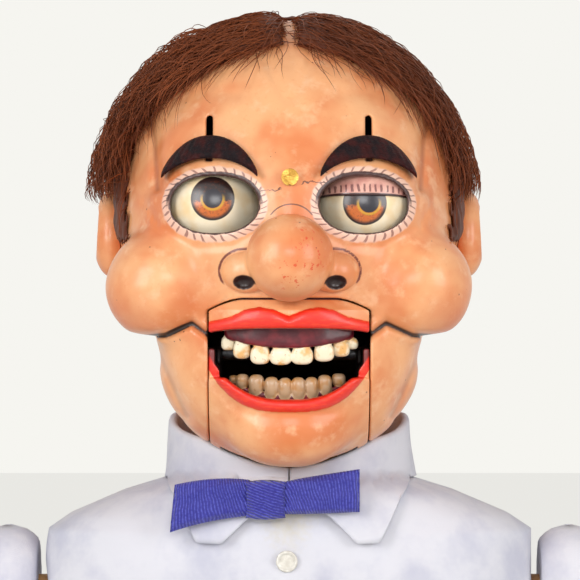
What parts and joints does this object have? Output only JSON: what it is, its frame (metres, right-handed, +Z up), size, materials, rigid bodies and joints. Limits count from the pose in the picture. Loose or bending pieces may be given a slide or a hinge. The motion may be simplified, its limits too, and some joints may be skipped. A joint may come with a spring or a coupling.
{
  "type": "ventriloquist dummy",
  "caption": "Seated ventriloquist dummy: carved head with moving jaw, lip, nose, eyes, lids and brows, hollow body with control stick, cloth clothes, jointed limbs.",
  "frame": {"origin": "middle of the seat board's underside", "axes": "+Z up along the body, the dummy faces -Y and its left side is +X"},
  "size_m": [0.3358, 0.5373, 0.573],
  "materials": {
    "painted_skin": "flesh paint under aged varnish",
    "bare_wood": "plain wood",
    "brass": "dull brass",
    "steel": "steel rod",
    "teeth": "glossy enamel, cream teeth on a dark red gum",
    "eyes": "glossy, cream with a painted iris",
    "brow_paint": "glossy dark brown",
    "hair": "short red-brown hair on a cap",
    "shirt_cloth": "white cotton",
    "tie_cloth": "blue ribbed ribbon",
    "trouser_cloth": "dark wool",
    "shoe_leather": "polished black"
  },
  "bodies": {
    "body": {"seat_board": "bare_wood", "torso_shell": "bare_wood", "shoulder_board": "bare_wood", "shirt_body": "shirt_cloth", "shirt_collar": "shirt_cloth", "tie_bow": "tie_cloth", "tie_knot": "tie_cloth", "trouser_seat": "trouser_cloth"},
    "neck_ring": {"neck_ring": "bare_wood"},
    "head": {"head_shell": "painted_skin", "rear_door": "painted_skin", "ear_left": "painted_skin", "ear_right": "painted_skin", "wig": "hair", "neck_post": "bare_wood", "control_stick": "bare_wood", "brow_screw": "brass", "upper_teeth": "teeth", "jaw_axle": "steel", "brow_axle": "steel", "eye_frame": "bare_wood"},
    "jaw": {"jaw": "painted_skin", "lower_teeth": "teeth"},
    "upper_lip": {"upper_lip": "painted_skin"},
    "nose": {"nose": "painted_skin"},
    "eyeball_left": {"eyeball_left": "eyes"},
    "eyelid_left": {"eyelid_left": "painted_skin"},
    "eyebrow_left": {"eyebrow_left": "brow_paint"},
    "eyeball_right": {"eyeball_right": "eyes"},
    "eyelid_right": {"eyelid_right": "painted_skin"},
    "eyebrow_right": {"eyebrow_right": "brow_paint"},
    "jaw_lever": {"jaw_lever": "brass"},
    "eye_lever": {"eye_lever": "brass"},
    "lid_lever_left": {"lid_lever_left": "brass"},
    "lid_lever_right": {"lid_lever_right": "brass"},
    "brow_lever": {"brow_lever": "brass"},
    "lip_lever": {"lip_lever": "brass"},
    "nose_lever": {"nose_lever": "brass"},
    "upper_arm_left": {"upper_arm_left": "bare_wood", "sleeve_upper_left": "shirt_cloth"},
    "forearm_left": {"forearm_left": "painted_skin", "sleeve_lower_left": "shirt_cloth"},
    "thigh_left": {"thigh_left": "bare_wood", "trouser_upper_left": "trouser_cloth"},
    "shin_left": {"shin_left": "bare_wood", "trouser_lower_left": "trouser_cloth", "shoe_left": "shoe_leather"},
    "upper_arm_right": {"upper_arm_right": "bare_wood", "sleeve_upper_right": "shirt_cloth"},
    "forearm_right": {"forearm_right": "painted_skin", "sleeve_lower_right": "shirt_cloth"},
    "thigh_right": {"thigh_right": "bare_wood", "trouser_upper_right": "trouser_cloth"},
    "shin_right": {"shin_right": "bare_wood", "trouser_lower_right": "trouser_cloth", "shoe_right": "shoe_leather"}
  },
  "joints": [
    {"name": "head_turn", "type": "hinge", "parent": "body", "child": "neck_ring", "pos_m": [0, 0.008, 0.35], "axis": [0, 0, 1], "range_deg": [-60, 60], "deforming": ["shirt_collar"]},
    {"name": "head_nod", "type": "hinge", "parent": "neck_ring", "child": "head", "pos_m": [0, 0.008, 0.35], "axis": [1, 0, 0], "range_deg": [-12, 0]},
    {"name": "jaw_drop", "type": "hinge", "parent": "head", "child": "jaw", "pos_m": [0, -0.014, 0.41], "axis": [1, 0, 0], "range_deg": [-12, 0]},
    {"name": "lip_raise", "type": "slide", "parent": "head", "child": "upper_lip", "axis": [0, 0, 1], "range_m": [-0.0055, 0]},
    {"name": "nose_wiggle", "type": "hinge", "parent": "head", "child": "nose", "pos_m": [0.0004, -0.093, 0.4544], "axis": [0, 1, 0], "range_deg": [-5, 5]},
    {"name": "eye_turn_left", "type": "hinge", "parent": "head", "child": "eyeball_left", "pos_m": [0.0336, -0.056, 0.4785], "axis": [0, 0, 1], "range_deg": [-22, 22]},
    {"name": "lid_close_left", "type": "hinge", "parent": "head", "child": "eyelid_left", "pos_m": [0.0336, -0.056, 0.4785], "axis": [1, 0, 0], "range_deg": [-23, 45]},
    {"name": "brow_raise_left", "type": "hinge", "parent": "head", "child": "eyebrow_left", "pos_m": [0.036, -0.026, 0.486], "axis": [-1, 0, 0], "range_deg": [0, 10]},
    {"name": "eye_turn_right", "type": "hinge", "parent": "head", "child": "eyeball_right", "pos_m": [-0.0336, -0.056, 0.4785], "axis": [0, 0, 1], "range_deg": [-22, 22]},
    {"name": "lid_close_right", "type": "hinge", "parent": "head", "child": "eyelid_right", "pos_m": [-0.0336, -0.056, 0.4785], "axis": [1, 0, 0], "range_deg": [0, 68]},
    {"name": "brow_raise_right", "type": "hinge", "parent": "head", "child": "eyebrow_right", "pos_m": [-0.036, -0.026, 0.486], "axis": [-1, 0, 0], "range_deg": [0, 10]},
    {"name": "jaw_lever_turn", "type": "hinge", "parent": "head", "child": "jaw_lever", "pos_m": [0.01, 0.008, 0.268], "axis": [1, 0, 0], "range_deg": [-6.5, 0]},
    {"name": "eye_lever_turn", "type": "hinge", "parent": "head", "child": "eye_lever", "pos_m": [-0.01, 0.008, 0.268], "axis": [1, 0, 0], "range_deg": [-7.1, 7.1]},
    {"name": "lid_lever_turn_left", "type": "hinge", "parent": "head", "child": "lid_lever_left", "pos_m": [0.01, 0.008, 0.244], "axis": [1, 0, 0], "range_deg": [-5.1, 9.5]},
    {"name": "lid_lever_turn_right", "type": "hinge", "parent": "head", "child": "lid_lever_right", "pos_m": [-0.01, 0.008, 0.244], "axis": [1, 0, 0], "range_deg": [0, 14.1]},
    {"name": "brow_lever_turn", "type": "hinge", "parent": "head", "child": "brow_lever", "pos_m": [0.01, 0.008, 0.22], "axis": [1, 0, 0], "range_deg": [0, 9.5]},
    {"name": "lip_lever_turn", "type": "hinge", "parent": "head", "child": "lip_lever", "pos_m": [-0.01, 0.008, 0.22], "axis": [1, 0, 0], "range_deg": [-9, 0]},
    {"name": "nose_lever_turn", "type": "hinge", "parent": "head", "child": "nose_lever", "pos_m": [0.01, 0.008, 0.196], "axis": [1, 0, 0], "range_deg": [-8.5, 8.5]},
    {"name": "shoulder_left", "type": "hinge", "parent": "body", "child": "upper_arm_left", "pos_m": [0.118, 0, 0.3], "axis": [-1, 0, 0], "range_deg": [-35, 140]},
    {"name": "elbow_left", "type": "hinge", "parent": "upper_arm_left", "child": "forearm_left", "pos_m": [0.141, 0, 0.188], "axis": [-1, 0, 0], "range_deg": [0, 90]},
    {"name": "hip_left", "type": "hinge", "parent": "body", "child": "thigh_left", "pos_m": [0.048, -0.074, 0.028], "axis": [-1, 0, 0], "range_deg": [0, 60]},
    {"name": "knee_left", "type": "hinge", "parent": "thigh_left", "child": "shin_left", "pos_m": [0.048, -0.246, 0.028], "axis": [1, 0, 0], "range_deg": [0, 80]},
    {"name": "shoulder_right", "type": "hinge", "parent": "body", "child": "upper_arm_right", "pos_m": [-0.118, 0, 0.3], "axis": [-1, 0, 0], "range_deg": [-35, 140]},
    {"name": "elbow_right", "type": "hinge", "parent": "upper_arm_right", "child": "forearm_right", "pos_m": [-0.141, 0, 0.188], "axis": [-1, 0, 0], "range_deg": [0, 90]},
    {"name": "hip_right", "type": "hinge", "parent": "body", "child": "thigh_right", "pos_m": [-0.048, -0.074, 0.028], "axis": [-1, 0, 0], "range_deg": [0, 60]},
    {"name": "knee_right", "type": "hinge", "parent": "thigh_right", "child": "shin_right", "pos_m": [-0.048, -0.246, 0.028], "axis": [1, 0, 0], "range_deg": [0, 80]}
  ],
  "couplings": [
    {"joint": "eye_turn_right", "follows": "eye_turn_left", "ratio": 1},
    {"joint": "brow_raise_right", "follows": "brow_raise_left", "ratio": 1},
    {"joint": "jaw_lever_turn", "follows": "jaw_drop", "ratio": 0.5},
    {"joint": "eye_lever_turn", "follows": "eye_turn_left", "ratio": 0.3},
    {"joint": "lid_lever_turn_left", "follows": "lid_close_left", "ratio": 0.2},
    {"joint": "lid_lever_turn_right", "follows": "lid_close_right", "ratio": 0.2},
    {"joint": "brow_lever_turn", "follows": "brow_raise_left", "ratio": 0.9},
    {"joint": "lip_lever_turn", "follows": "lip_raise", "rad_per_m": 25.455},
    {"joint": "nose_lever_turn", "follows": "nose_wiggle", "ratio": 1.6}
  ]
}
